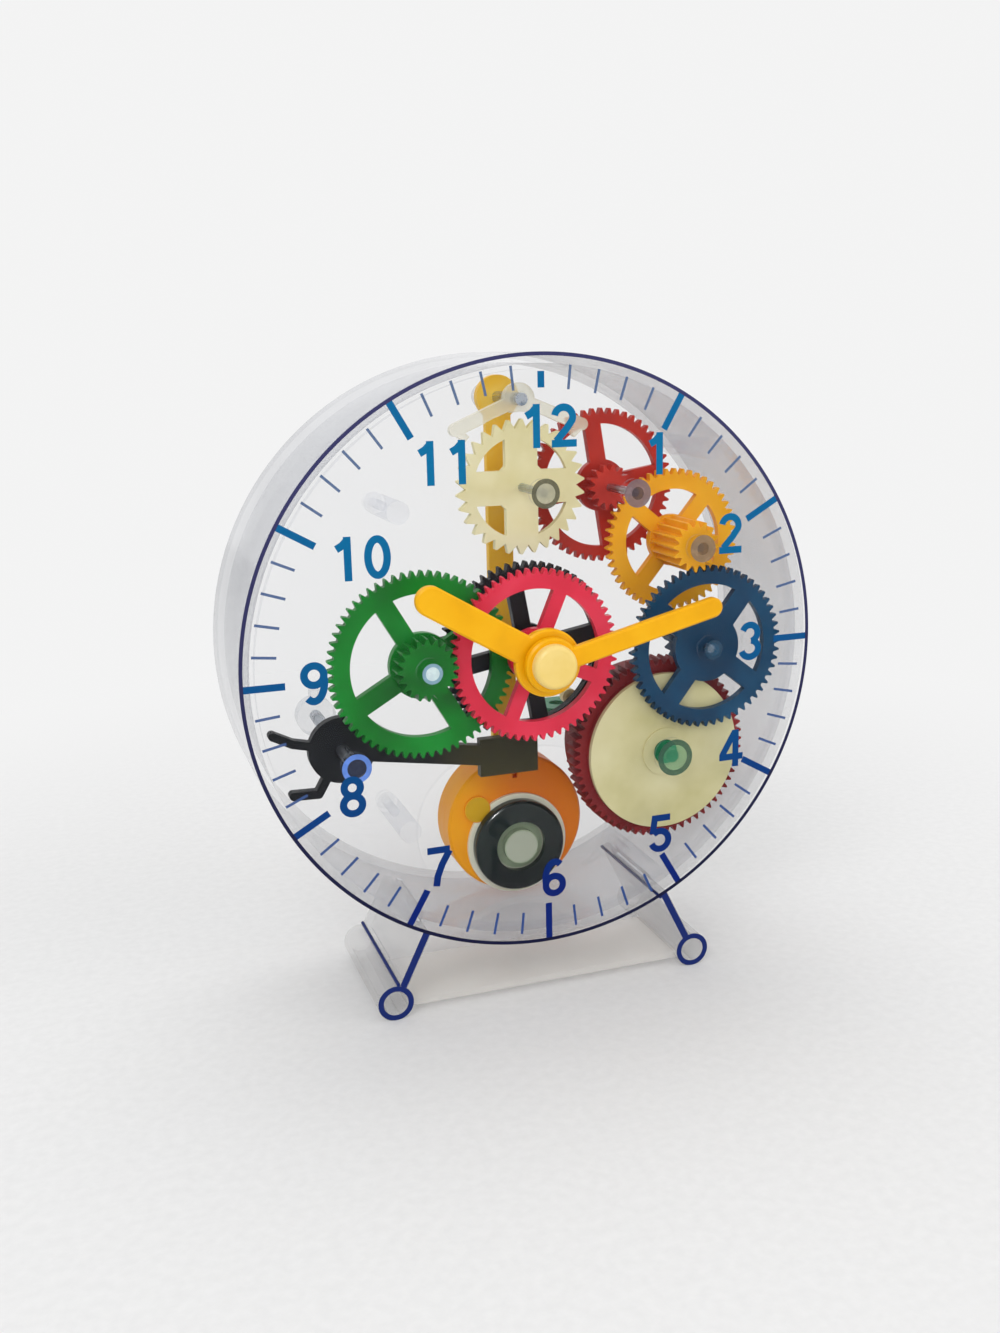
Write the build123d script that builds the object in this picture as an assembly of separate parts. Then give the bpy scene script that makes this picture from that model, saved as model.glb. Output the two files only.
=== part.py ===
from build123d import *
import math
import os

# Clear wind-up clock with an open gear train. Millimetres, +Z up, dial facing -Y.
# Spots are (x, z) from the dial centre, and depths run rearward from the cover's outer face.

# Tooth shape, in shares of the module
ADDENDUM_SHARE = 0.85
DEDENDUM_SHARE = 1.2
TOOTH_SHARE = 0.40
FLANK_DEG = 20

# Tooth counts of the going train
GREAT_TEETH = 64
CENTRE_TEETH = 60
BLUE_PINION_TEETH = 16
BLUE_TEETH = 56
AMBER_PINION_TEETH = 16
AMBER_TEETH = 49
RED_PINION_TEETH = 14
RED_TEETH = 52
ESCAPE_PINION_TEETH = 13
ESCAPE_TEETH = 30

# Tooth counts of the motion work, twelve to one
CANNON_TEETH = 16
MOTION_TEETH = 64
MOTION_PINION_TEETH = 20
HOUR_TEETH = 60
MOTION_MODULE_SHARE = 0.965

# Bearings from one axis to the next, in degrees from +X towards +Z
BARREL_BEARING = -39.3
BLUE_BEARING = 68.8
AMBER_BEARING = 97.2
RED_BEARING = 140.6
ESCAPE_BEARING = 177.3
MOTION_BEARING = 181.0

# Fits
RUN_CLEAR = 0.06
SLIP_CLEAR = 0.03
SEAT_CLEAR = 0.04
AIR_GAP = 0.4

# Case
CASE_RADIUS = 70.0
CASE_DEPTH = 46.0
COVER_THICK = 2.0
WALL_THICK = 2.5
BACK_THICK = 2.5
LIP_THICK = 1.2
LIP_LENGTH = 3.0
COVER_EDGE = 0.5
BACK_EDGE = 1.2
TRAIN_GAP = 1.7

# Bearing bosses and pins
BOSS_RADIUS = 3.2
BOSS_HEIGHT = 1.0
ARBOR_BOSS_RADIUS = 4.4
PIVOT_FLOOR = 1.0
AXLE_RADIUS = 1.0
PIVOT_PIN_RADIUS = 1.5
LEVER_PIN_RADIUS = 1.5
AXLE_OVERRUN = 0.5

# Movement plate on four posts
PLATE_FRONT = 25.0
PLATE_THICK = 1.8
PLATE_WALL_GAP = 1.5
POST_RADIUS = 2.6
POST_SPOT_SHARES = ((-0.50, 0.545), (0.66, 0.71), (0.424, -0.864), (-0.50, -0.576))
SCREW_RADIUS = 1.1
SCREW_LENGTH = 8.0
SCREW_HEAD_RADIUS = 2.3
SCREW_HEAD_THICK = 1.3
DRIVE_WIDTH = 0.6
DRIVE_DEPTH = 0.6
BOB_NOTCH_ROOM = 1.5

# Legs, foot tubes and foot bridge
LEG_LEAN_DEG = 26.0
LEG_LENGTH = 18.3
FOOT_RADIUS = 4.3
FOOT_BORE_RADIUS = 3.0
FOOT_FLAT_DEPTH = 0.15
LEG_THICK = 2.2
LEG_DEPTH = 38.0
TONGUE_THICK = 1.4
TONGUE_FRONT = 8.0
TONGUE_LENGTH = 22.0
TONGUE_REACH = 2.2
BRIDGE_THICK = 1.6
BRIDGE_DROP = 1.4
BRIDGE_FRONT = 2.0
BRIDGE_LENGTH = 23.0
BRIDGE_END_GAP = 3.3

# Hands and motion work
HOUR_HAND_DEG = 149.0
HOUR_HAND_LENGTH = 35.5
HOUR_HAND_WIDTH = 7.0
HOUR_HUB_RADIUS = 8.0
HOUR_HAND_THICK = 2.0
MINUTE_HAND_DEG = 14.0
MINUTE_HAND_LENGTH = 44.5
MINUTE_HAND_WIDTH = 4.8
MINUTE_HUB_RADIUS = 6.4
MINUTE_HAND_THICK = 2.0
HAND_EDGE = 0.45
HAND_COVER_GAP = 0.8
HAND_GAP = 0.8
CAP_RADIUS = 5.2
CAP_HEIGHT = 2.6
CAP_EDGE = 1.2
CAP_SOCKET_DEPTH = 1.6
MINUTE_ARBOR_RADIUS = 1.3
CANNON_TUBE_RADIUS = 2.2
HOUR_TUBE_RADIUS = 3.4
CANNON_FRONT = 8.4
CANNON_THICK = 2.6
MOTION_PINION_FRONT = 3.5
MOTION_FRONT = 8.6
MOTION_THICK = 2.2
HOUR_FRONT = 5.9
HOUR_THICK = 2.1
CLUTCH_RADIUS = 4.5
CLUTCH_THICK = 0.25

# Centre wheel
CENTRE_FRONT = 12.0
CENTRE_THICK = 2.4
CENTRE_HUB_RADIUS = 5.0
CENTRE_HUB_LENGTH = 2.6

# Mainspring barrel and winding work
LID_FRONT = 6.0
LID_THICK = 1.4
LID_BOSS_RADIUS = 6.0
LID_BOSS_HEIGHT = 0.4
LID_LIP_LENGTH = 1.2
DRUM_STEP = 1.76
DRUM_WALL = 1.6
DRUM_REAR = 24.0
DRUM_FLOOR = 1.4
GREAT_FRONT = 8.8
GREAT_THICK = 5.8
ARBOR_RADIUS = 3.0
ARBOR_PIVOT_RADIUS = 1.6
ARBOR_SQUARE = 4.0
ARBOR_OVERRUN = 7.0
SPRING_TURNS = 6
SPRING_STEPS = 14
SPRING_INNER_RADIUS = 4.2
SPRING_THICK = 0.5
SPRING_SIDE_GAP = 0.8
RATCHET_FRONT = 27.4
RATCHET_THICK = 1.8
RATCHET_RADIUS = 8.0
RATCHET_TOOTH_HEIGHT = 1.2
RATCHET_TEETH = 20
CLICK_THICK = 0.7
CLICK_LENGTH = 17.0
CLICK_TIP_LENGTH = 2.4
CLICK_FOOT_RADIUS = 2.0
CLICK_PEG_RADIUS = 1.1
CLICK_TIP_CLEAR = 0.35
KEY_GAP = 0.7
KEY_HUB_RADIUS = 4.6
KEY_HUB_LENGTH = 7.0
KEY_WING_LENGTH = 30.0
KEY_WING_DEPTH = 9.0
KEY_WING_THICK = 2.4
KEY_WING_CORNER = 4.0
KEY_WING_HOLE_RADIUS = 2.2
KEY_WING_HOLE_REACH = 9.6

# Train wheels
WHEEL_THICK = 2.0
BLUE_FRONT = 3.4
BLUE_PINION_REAR = 15.2
AMBER_PINION_FRONT = 3.4
AMBER_FRONT = 16.6
RED_PINION_FRONT = 16.2
RED_PINION_REAR = 19.2
RED_FRONT = 21.6
ESCAPE_FRONT = 16.2
ESCAPE_WHEEL_THICK = 1.8
ESCAPE_PINION_REAR = 24.1
ESCAPE_PINION_GAP = 1.25
ESCAPE_TOOTH_HEIGHT = 2.2
ESCAPE_RIM_WIDTH = 1.8
ESCAPE_TIP_SHARE = 0.12
ESCAPE_LEAN_SHARE = 0.35
HUB_RADIUS = 2.6
REAR_HUB_REAR = 24.5

# Spokes by wheel: how many, and the bearing of the first one in degrees
BLUE_SPOKES = 4
BLUE_SPOKE_DEG = 52
GREEN_SPOKES = 4
GREEN_SPOKE_DEG = 30
RED_SPOKES = 4
RED_SPOKE_DEG = 9
AMBER_SPOKES = 4
AMBER_SPOKE_DEG = 50
PINK_SPOKES = 4
PINK_SPOKE_DEG = 67
BLACK_SPOKES = 4
BLACK_SPOKE_DEG = 10
CREAM_SPOKES = 4
CREAM_SPOKE_DEG = 0

# Rim, spoke and hub disc sizes by wheel
BLUE_RIM = 3.9
GREEN_RIM = 4.6
RED_RIM = 3.2
AMBER_RIM = 4.4
PINK_RIM = 4.2
BLACK_RIM = 3.5
BLUE_SPOKE = 5.0
GREEN_SPOKE = 4.6
RED_SPOKE = 4.2
AMBER_SPOKE = 4.0
PINK_SPOKE = 3.4
BLACK_SPOKE = 4.0
CREAM_SPOKE = 8.0
BLUE_DISC = 8.6
GREEN_DISC = 7.8
RED_DISC = 6.4
AMBER_DISC = 6.4
PINK_DISC = 6.6
BLACK_DISC = 6.6
CREAM_DISC = 6.4

# Pendulum and anchor
PIVOT_X = 0.5
PIVOT_ABOVE_ESCAPE = 4.55
PIVOT_BOSS_GAP = 0.6
SWING_DEG = 3.5
ROD_FRONT = 32.0
ROD_THICK = 2.2
ROD_WIDTH = 6.4
ROD_EYE_RADIUS = 5.4
ROD_INTO_BOB = 10.5
BOB_FRONT = 25.0
BOB_THICK = 10.0
BOB_RADIUS = 18.0
BOB_WALL_GAP = 1.5
BOB_EDGE = 0.6
BOB_SKIN = 1.8
BOB_SLIT_WIDTH = 1.3
BOB_SLIT_LENGTH = 6.0
BOB_STUD_RADIUS = 3.4
BOB_STUD_HEIGHT = 0.7
BOB_STUD_LEFT = 10.4
BOB_STUD_UP = 5.0
WEIGHT_DROP = 5.2
WEIGHT_RADIUS = 11.9
WEIGHT_BORE_RADIUS = 6.5
WEIGHT_THICK = 3.0
WEIGHT_EDGE = 1.3
HOLDER_RADIUS = 13.2
HOLDER_THICK = 1.0
HOLDER_POST_RADIUS = 4.5
HOLDER_POST_LENGTH = 3.2
HOLDER_SEAT_LENGTH = 1.2
ANCHOR_FRONT = 16.0
ANCHOR_THICK = 2.2
ANCHOR_EYE_RADIUS = 3.8
ANCHOR_ARM_WIDTH = 3.0
PALLET_SPREAD_DEG = 48.0
PALLET_CLEAR = 0.35
PALLET_LENGTH = 3.4
PALLET_WIDTH = 1.8
PIN_OVERRUN = 1.6

# Stop lever
LEVER_FRONT = 15.5
LEVER_THICK = 2.5
LEVER_HUB_RADIUS = 8.0
LEVER_ARM_WIDTH = 5.0
SHOE_LENGTH = 14.9
SHOE_PAST_ROD = 2.9
SHOE_ABOVE_BOB = 8.0
SHOE_OVER_BOB = 1.5
SHOE_WALL = 3.0
SHOE_FACE_GAP = 0.35
FINGER_WIDTH = 2.0

# Pin and fingers of the stop lever, as shares of the case's inner radius
LEVER_SHARES = (-0.671, -0.304)
ELBOW_SHARES = (-0.841, -0.265)
HOOK_SHARES = (-0.908, -0.230)
KNEE_SHARES = (-0.760, -0.455)
TOE_SHARES = (-0.848, -0.452)
STUB_SHARES = (-0.659, -0.185)
KNOB_RADIUS = 5.0
KNOB_LENGTH = 4.5
KNOB_GAP = 0.6
KNOB_BAR_WIDTH = 2.4
KNOB_BAR_LENGTH = 4.0

# Levels that follow from the sizes above
CASE_INNER = CASE_RADIUS - WALL_THICK
PLATE_RADIUS = CASE_INNER - PLATE_WALL_GAP
FOOT_REACH = CASE_RADIUS + LEG_LENGTH
PIVOT_BOSS_FRONT = ROD_FRONT + ROD_THICK + PIVOT_BOSS_GAP
BACK_FRONT = CASE_DEPTH - BACK_THICK
BOSS_REAR = COVER_THICK + BOSS_HEIGHT
PLATE_REAR = PLATE_FRONT + PLATE_THICK
AXLE_REAR = PLATE_REAR + AXLE_OVERRUN
HOUR_HAND_REAR = -HAND_COVER_GAP
HOUR_HAND_FRONT = HOUR_HAND_REAR - HOUR_HAND_THICK
MINUTE_HAND_REAR = HOUR_HAND_FRONT - HAND_GAP
MINUTE_HAND_FRONT = MINUTE_HAND_REAR - MINUTE_HAND_THICK
CAP_FRONT = MINUTE_HAND_FRONT - CAP_HEIGHT
KEY_FRONT = CASE_DEPTH + KEY_GAP
KEY_REAR = KEY_FRONT + KEY_HUB_LENGTH + KEY_WING_DEPTH
Y_FRONT = -(CAP_FRONT + KEY_REAR) / 2
LEAN = math.radians(LEG_LEAN_DEG)
FOOT_X = FOOT_REACH * math.sin(LEAN)
FOOT_Z = -FOOT_REACH * math.cos(LEAN)
DIAL_HEIGHT = FOOT_RADIUS - FOOT_FLAT_DEPTH - FOOT_Z


def step(spot, bearing, teeth_a, teeth_b, module):
    reach = module * (teeth_a + teeth_b) / 2
    angle = math.radians(bearing)
    return (spot[0] + reach * math.cos(angle), spot[1] + reach * math.sin(angle))


def barrel_axis(module):
    return step((0, 0), BARREL_BEARING, CENTRE_TEETH, GREAT_TEETH, module)


def blue_axis(module):
    return step(barrel_axis(module), BLUE_BEARING, GREAT_TEETH, BLUE_PINION_TEETH, module)


# The barrel or the blue wheel reaches furthest out and sets the module that fits the train in the case
BARREL_REACH = math.hypot(*barrel_axis(1)) + GREAT_TEETH / 2
BLUE_REACH = math.hypot(*blue_axis(1)) + BLUE_TEETH / 2
MODULE = (CASE_INNER - TRAIN_GAP) / max(BARREL_REACH, BLUE_REACH)
MOTION_MODULE = MODULE * MOTION_MODULE_SHARE


def pitch_radius(teeth, module=MODULE):
    return module * teeth / 2


def tip_radius(teeth, module=MODULE):
    return pitch_radius(teeth, module) + ADDENDUM_SHARE * module


def root_radius(teeth, module=MODULE):
    return pitch_radius(teeth, module) - DEDENDUM_SHARE * module


def mesh_phase(bearing, teeth_a, phase_a, teeth_b):
    share = (bearing - phase_a) * teeth_a / 360
    return bearing + 180 - (0.5 - share) * 360 / teeth_b


def lever_spot(shares):
    return (shares[0] * CASE_INNER, shares[1] * CASE_INNER)


# Axes of the train
CENTRE = (0, 0)
BARREL = barrel_axis(MODULE)
BLUE = blue_axis(MODULE)
AMBER = step(BLUE, AMBER_BEARING, BLUE_TEETH, AMBER_PINION_TEETH, MODULE)
RED = step(AMBER, RED_BEARING, AMBER_TEETH, RED_PINION_TEETH, MODULE)
ESCAPE = step(RED, ESCAPE_BEARING, RED_TEETH, ESCAPE_PINION_TEETH, MODULE)
MOTION = step(CENTRE, MOTION_BEARING, HOUR_TEETH, MOTION_PINION_TEETH, MOTION_MODULE)
DRUM_RADIUS = root_radius(GREAT_TEETH) - DRUM_STEP
ESCAPE_RADIUS = math.dist(RED, ESCAPE) - tip_radius(RED_PINION_TEETH) - ESCAPE_PINION_GAP
PIVOT = (PIVOT_X, ESCAPE[1] + ESCAPE_RADIUS + PIVOT_ABOVE_ESCAPE)
LEVER = lever_spot(LEVER_SHARES)
BOB = (PIVOT_X, BOB_RADIUS + BOB_WALL_GAP - CASE_INNER)
WEIGHT = (PIVOT_X, BOB[1] - WEIGHT_DROP)
BOB_STUD = (PIVOT_X - BOB_STUD_LEFT, BOB[1] + BOB_STUD_UP)
BOB_TRAVEL = (PIVOT[1] - BOB[1]) * math.sin(math.radians(SWING_DEG))
POST_SPOTS = [(x * PLATE_RADIUS, z * PLATE_RADIUS) for x, z in POST_SPOT_SHARES]
AXLE_SPOTS = {"blue": BLUE, "amber": AMBER, "red": RED, "escape": ESCAPE, "motion": MOTION}

# Shoe of the stop lever over the top of the bob
SHOE_RIGHT = PIVOT_X + SHOE_PAST_ROD
SHOE_LEFT = SHOE_RIGHT - SHOE_LENGTH
SHOE_TOP = BOB[1] + BOB_RADIUS + SHOE_ABOVE_BOB
SHOE_BOTTOM = BOB[1] + BOB_RADIUS - SHOE_OVER_BOB
ROD_FOOT = BOB[1] + BOB_RADIUS - ROD_INTO_BOB

# Tooth phases that put every pair in mesh at rest
GREAT_PHASE = 0
CENTRE_PHASE = mesh_phase(BARREL_BEARING + 180, GREAT_TEETH, GREAT_PHASE, CENTRE_TEETH)
BLUE_PINION_PHASE = mesh_phase(BLUE_BEARING, GREAT_TEETH, GREAT_PHASE, BLUE_PINION_TEETH)
AMBER_PINION_PHASE = mesh_phase(AMBER_BEARING, BLUE_TEETH, 0, AMBER_PINION_TEETH)
RED_PINION_PHASE = mesh_phase(RED_BEARING, AMBER_TEETH, 0, RED_PINION_TEETH)
ESCAPE_PINION_PHASE = mesh_phase(ESCAPE_BEARING, RED_TEETH, 0, ESCAPE_PINION_TEETH)
MOTION_PHASE = mesh_phase(MOTION_BEARING, CANNON_TEETH, 0, MOTION_TEETH)
HOUR_PHASE = mesh_phase(MOTION_BEARING + 180, MOTION_PINION_TEETH, 0, HOUR_TEETH)


def place(spot, depth):
    origin = (spot[0], depth + Y_FRONT, spot[1] + DIAL_HEIGHT)
    return Plane(origin=origin, x_dir=(1, 0, 0), z_dir=(0, -1, 0)).location


def slab(sketch, front, rear, spot=CENTRE):
    return place(spot, rear) * extrude(sketch, rear - front)


def rod(radius, front, rear, spot=CENTRE):
    return slab(Circle(radius), front, rear, spot)


def ring(outer, inner, front, rear, spot=CENTRE):
    return slab(Circle(outer) - Circle(inner), front, rear, spot)


def block(left, right, bottom, top, front, rear):
    sketch = Pos((left + right) / 2, (bottom + top) / 2) * Rectangle(right - left, top - bottom)
    return slab(sketch, front, rear)


def face_edges(part, depth):
    level = depth + Y_FRONT
    return part.edges().filter_by(lambda e: abs(e.bounding_box().min.Y - level) < SLIP_CLEAR
                                  and abs(e.bounding_box().max.Y - level) < SLIP_CLEAR)


def polar(radius, angle):
    return (radius * math.cos(angle), radius * math.sin(angle))


def toothed(teeth, phase, module=MODULE):
    half = TOOTH_SHARE * math.pi * module / 2
    slope = math.tan(math.radians(FLANK_DEG))
    tip = tip_radius(teeth, module)
    root = root_radius(teeth, module)
    tip_half = (half - ADDENDUM_SHARE * module * slope) / tip
    root_half = (half + DEDENDUM_SHARE * module * slope) / root
    points = []
    for i in range(teeth):
        mid = math.radians(phase) + 2 * math.pi * i / teeth
        points.append(polar(root, mid - root_half))
        points.append(polar(tip, mid - tip_half))
        points.append(polar(tip, mid + tip_half))
        points.append(polar(root, mid + root_half))
    return make_face(Polyline(*points, close=True))


def saw(teeth, tip, height, tip_share, lean_share):
    pitch = 2 * math.pi / teeth
    points = []
    for i in range(teeth):
        mid = pitch * i
        points.append(polar(tip - height, mid))
        points.append(polar(tip, mid + pitch * lean_share))
        points.append(polar(tip, mid + pitch * (lean_share + tip_share)))
    return make_face(Polyline(*points, close=True))


def windows(outer, inner, spokes, width, turn):
    sketch = Circle(outer) - Circle(inner)
    for i in range(spokes):
        bar = Pos((outer + inner) / 2, 0) * Rectangle(outer - inner + width, width)
        sketch -= Rot(0, 0, turn + i * 360 / spokes) * bar
    return sketch


def spoked(teeth, phase, rim, disc, spokes, width, turn, bore, module=MODULE):
    inner = pitch_radius(teeth, module) - rim
    return toothed(teeth, phase, module) - windows(inner, disc, spokes, width, turn) - Circle(bore)


def pinion(teeth, phase, bore, module=MODULE):
    return toothed(teeth, phase, module) - Circle(bore)


def bar_between(start, end, width):
    dx = end[0] - start[0]
    dz = end[1] - start[1]
    length = math.hypot(dx, dz)
    sketch = Pos(length / 2, 0) * Rectangle(length, width) + Pos(length, 0) * Circle(width / 2)
    return Pos(*start) * (Rot(0, 0, math.degrees(math.atan2(dz, dx))) * sketch)


# Front cover: dial disc, lip, bearing bosses and posts
def front_cover():
    disc = rod(CASE_RADIUS, 0, COVER_THICK)
    part = chamfer(face_edges(disc, 0), COVER_EDGE)
    lip = CASE_INNER - SEAT_CLEAR
    part += ring(lip, lip - LIP_THICK, COVER_THICK, COVER_THICK + LIP_LENGTH)
    for spot in list(AXLE_SPOTS.values()) + [LEVER]:
        part += rod(BOSS_RADIUS, COVER_THICK, BOSS_REAR, spot)
    part += rod(ARBOR_BOSS_RADIUS, COVER_THICK, BOSS_REAR, BARREL)
    for spot in POST_SPOTS:
        part += rod(POST_RADIUS, COVER_THICK, PLATE_FRONT, spot)
        part -= rod(SCREW_RADIUS + SLIP_CLEAR, PLATE_FRONT - SCREW_LENGTH, PLATE_FRONT, spot)
    for spot in AXLE_SPOTS.values():
        part -= rod(AXLE_RADIUS + RUN_CLEAR, PIVOT_FLOOR, BOSS_REAR, spot)
    part -= rod(LEVER_PIN_RADIUS + RUN_CLEAR, PIVOT_FLOOR, BOSS_REAR, LEVER)
    part -= rod(ARBOR_PIVOT_RADIUS + RUN_CLEAR, PIVOT_FLOOR, BOSS_REAR, BARREL)
    part -= rod(HOUR_TUBE_RADIUS + RUN_CLEAR, 0, COVER_THICK)
    return part


def leg_frame(side):
    turn = -90 + side * LEG_LEAN_DEG
    return Rot(0, 0, turn)


# Rear case: drum wall and back with bearings, and a slot for each leg's tongue
def rear_case():
    drum = rod(CASE_RADIUS, COVER_THICK, CASE_DEPTH)
    drum = chamfer(face_edges(drum, CASE_DEPTH), BACK_EDGE)
    part = drum - rod(CASE_INNER, COVER_THICK, BACK_FRONT)
    part += rod(BOSS_RADIUS, PIVOT_BOSS_FRONT, BACK_FRONT, PIVOT)
    part -= rod(PIVOT_PIN_RADIUS + RUN_CLEAR, PIVOT_BOSS_FRONT, BACK_FRONT, PIVOT)
    part -= rod(ARBOR_RADIUS + RUN_CLEAR, BACK_FRONT, CASE_DEPTH, BARREL)
    part -= rod(LEVER_PIN_RADIUS + RUN_CLEAR, BACK_FRONT, CASE_DEPTH, LEVER)
    middle = (CASE_INNER + CASE_RADIUS) / 2
    rear = TONGUE_FRONT + TONGUE_LENGTH
    for side in (-1, 1):
        slot = Pos(middle, 0) * Rectangle(2 * WALL_THICK, TONGUE_THICK + 2 * SLIP_CLEAR)
        part -= slab(leg_frame(side) * slot, TONGUE_FRONT - SLIP_CLEAR, rear + SLIP_CLEAR)
    return part


# One leg: radial plate with a tongue into the drum and a hollow foot tube
def leg(side):
    length = FOOT_REACH - CASE_RADIUS + LEG_THICK
    plate = Pos((CASE_RADIUS + FOOT_REACH) / 2, 0) * Rectangle(length, LEG_THICK)
    part = slab(leg_frame(side) * plate, 0, LEG_DEPTH)
    part -= rod(CASE_RADIUS, 0, LEG_DEPTH)
    inner = CASE_RADIUS - TONGUE_REACH
    tongue = Pos((inner + FOOT_REACH) / 2, 0) * Rectangle(FOOT_REACH - inner, TONGUE_THICK)
    part += slab(leg_frame(side) * tongue, TONGUE_FRONT, TONGUE_FRONT + TONGUE_LENGTH)
    foot = (side * FOOT_X, FOOT_Z)
    part += rod(FOOT_RADIUS, 0, LEG_DEPTH, foot)
    part -= rod(FOOT_BORE_RADIUS, 0, LEG_DEPTH, foot)
    part -= bridge_bar(SLIP_CLEAR)
    floor = FOOT_Z - FOOT_RADIUS + FOOT_FLAT_DEPTH
    low = floor - FOOT_RADIUS
    part -= block(-CASE_RADIUS, CASE_RADIUS, low, floor, 0, LEG_DEPTH)
    return part


def bridge_bar(spare):
    end = FOOT_X - BRIDGE_END_GAP + spare
    middle = FOOT_Z - BRIDGE_DROP
    half = BRIDGE_THICK / 2 + spare
    rear = BRIDGE_FRONT + BRIDGE_LENGTH
    return block(-end, end, middle - half, middle + half, BRIDGE_FRONT - spare, rear + spare)


# Movement plate with the rear bearings, cut away round the swinging bob
def movement_plate():
    part = rod(PLATE_RADIUS, PLATE_FRONT, PLATE_REAR)
    for spot in AXLE_SPOTS.values():
        part -= rod(AXLE_RADIUS + RUN_CLEAR, PLATE_FRONT, PLATE_REAR, spot)
    part -= rod(MINUTE_ARBOR_RADIUS + RUN_CLEAR, PLATE_FRONT, PLATE_REAR)
    part -= rod(ARBOR_RADIUS + RUN_CLEAR, PLATE_FRONT, PLATE_REAR, BARREL)
    part -= rod(PIVOT_PIN_RADIUS + RUN_CLEAR, PLATE_FRONT, PLATE_REAR, PIVOT)
    part -= rod(LEVER_PIN_RADIUS + RUN_CLEAR, PLATE_FRONT, PLATE_REAR, LEVER)
    part -= rod(CLICK_PEG_RADIUS, PLATE_FRONT, PLATE_REAR, click_foot())
    for spot in POST_SPOTS:
        part -= rod(SCREW_RADIUS + SLIP_CLEAR, PLATE_FRONT, PLATE_REAR, spot)
    for side in (-1, 1):
        end = (BOB[0] + side * BOB_TRAVEL, BOB[1])
        notch = bar_between(BOB, end, 2 * (BOB_RADIUS + BOB_NOTCH_ROOM))
        part -= slab(notch, PLATE_FRONT, PLATE_REAR)
    return part


def plate_screws():
    solids = []
    head_rear = PLATE_REAR + SCREW_HEAD_THICK
    for spot in POST_SPOTS:
        screw = rod(SCREW_RADIUS, PLATE_FRONT - SCREW_LENGTH, PLATE_REAR, spot)
        screw += rod(SCREW_HEAD_RADIUS, PLATE_REAR, head_rear, spot)
        for turn in (0, 90):
            slot = Rot(0, 0, turn) * Rectangle(SCREW_HEAD_RADIUS, DRIVE_WIDTH)
            screw -= slab(slot, head_rear - DRIVE_DEPTH, head_rear, spot)
        solids += screw.solids()
    return Compound(children=solids)


# Mainspring barrel, its lid and spring
def mainspring_barrel():
    inner = DRUM_RADIUS - DRUM_WALL
    front = LID_FRONT + LID_THICK
    part = ring(DRUM_RADIUS, inner, front, DRUM_REAR, BARREL)
    flange = toothed(GREAT_TEETH, GREAT_PHASE) - Circle(inner)
    part += slab(flange, GREAT_FRONT, GREAT_FRONT + GREAT_THICK, BARREL)
    part += ring(DRUM_RADIUS, ARBOR_RADIUS + RUN_CLEAR, DRUM_REAR - DRUM_FLOOR, DRUM_REAR, BARREL)
    return part


def barrel_lid():
    bore = ARBOR_RADIUS + RUN_CLEAR
    lip = DRUM_RADIUS - DRUM_WALL - SLIP_CLEAR
    rear = LID_FRONT + LID_THICK
    part = ring(DRUM_RADIUS, bore, LID_FRONT, rear, BARREL)
    part += ring(LID_BOSS_RADIUS, bore, LID_FRONT - LID_BOSS_HEIGHT, LID_FRONT, BARREL)
    part += ring(lip, lip - DRUM_WALL, rear, rear + LID_LIP_LENGTH, BARREL)
    return part


def mainspring():
    outer = DRUM_RADIUS - DRUM_WALL - AIR_GAP
    count = SPRING_TURNS * SPRING_STEPS
    pitch = (outer - SPRING_THICK - SPRING_INNER_RADIUS) / count
    outside = []
    inside = []
    for i in range(count + 1):
        angle = 2 * math.pi * i / SPRING_STEPS
        radius = SPRING_INNER_RADIUS + pitch * i
        inside.append(polar(radius, angle))
        outside.append(polar(radius + SPRING_THICK, angle))
    band = make_face(Polyline(*(inside + outside[::-1]), close=True))
    front = LID_FRONT + LID_THICK + LID_LIP_LENGTH + SPRING_SIDE_GAP
    return slab(band, front, DRUM_REAR - DRUM_FLOOR - SPRING_SIDE_GAP, BARREL)


# Winding arbor, ratchet, click and key
def winding_arbor():
    shoulder = LID_FRONT - LID_BOSS_HEIGHT - AIR_GAP
    part = rod(ARBOR_PIVOT_RADIUS, PIVOT_FLOOR + AIR_GAP, shoulder, BARREL)
    part += rod(ARBOR_RADIUS, shoulder, CASE_DEPTH, BARREL)
    part += slab(Rectangle(ARBOR_SQUARE, ARBOR_SQUARE), CASE_DEPTH, CASE_DEPTH + ARBOR_OVERRUN, BARREL)
    return part


def ratchet_wheel():
    outline = saw(RATCHET_TEETH, RATCHET_RADIUS, RATCHET_TOOTH_HEIGHT, ESCAPE_TIP_SHARE, 0)
    return slab(outline - Circle(ARBOR_RADIUS), RATCHET_FRONT, RATCHET_FRONT + RATCHET_THICK, BARREL)


def click_tip():
    return (BARREL[0], BARREL[1] + RATCHET_RADIUS + CLICK_TIP_CLEAR)


def click_foot():
    tip = click_tip()
    return (tip[0] - CLICK_LENGTH, tip[1] + CLICK_TIP_LENGTH)


def click_spring():
    tip = click_tip()
    foot = click_foot()
    bend = (tip[0], foot[1])
    end = (tip[0], tip[1] + CLICK_THICK / 2)
    strip = bar_between(foot, bend, CLICK_THICK) + bar_between(bend, end, CLICK_THICK)
    rear = RATCHET_FRONT + RATCHET_THICK
    part = slab(strip, RATCHET_FRONT, rear)
    part += rod(CLICK_FOOT_RADIUS, PLATE_REAR, rear, foot)
    part += rod(CLICK_PEG_RADIUS, PLATE_FRONT, PLATE_REAR, foot)
    return part


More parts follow.
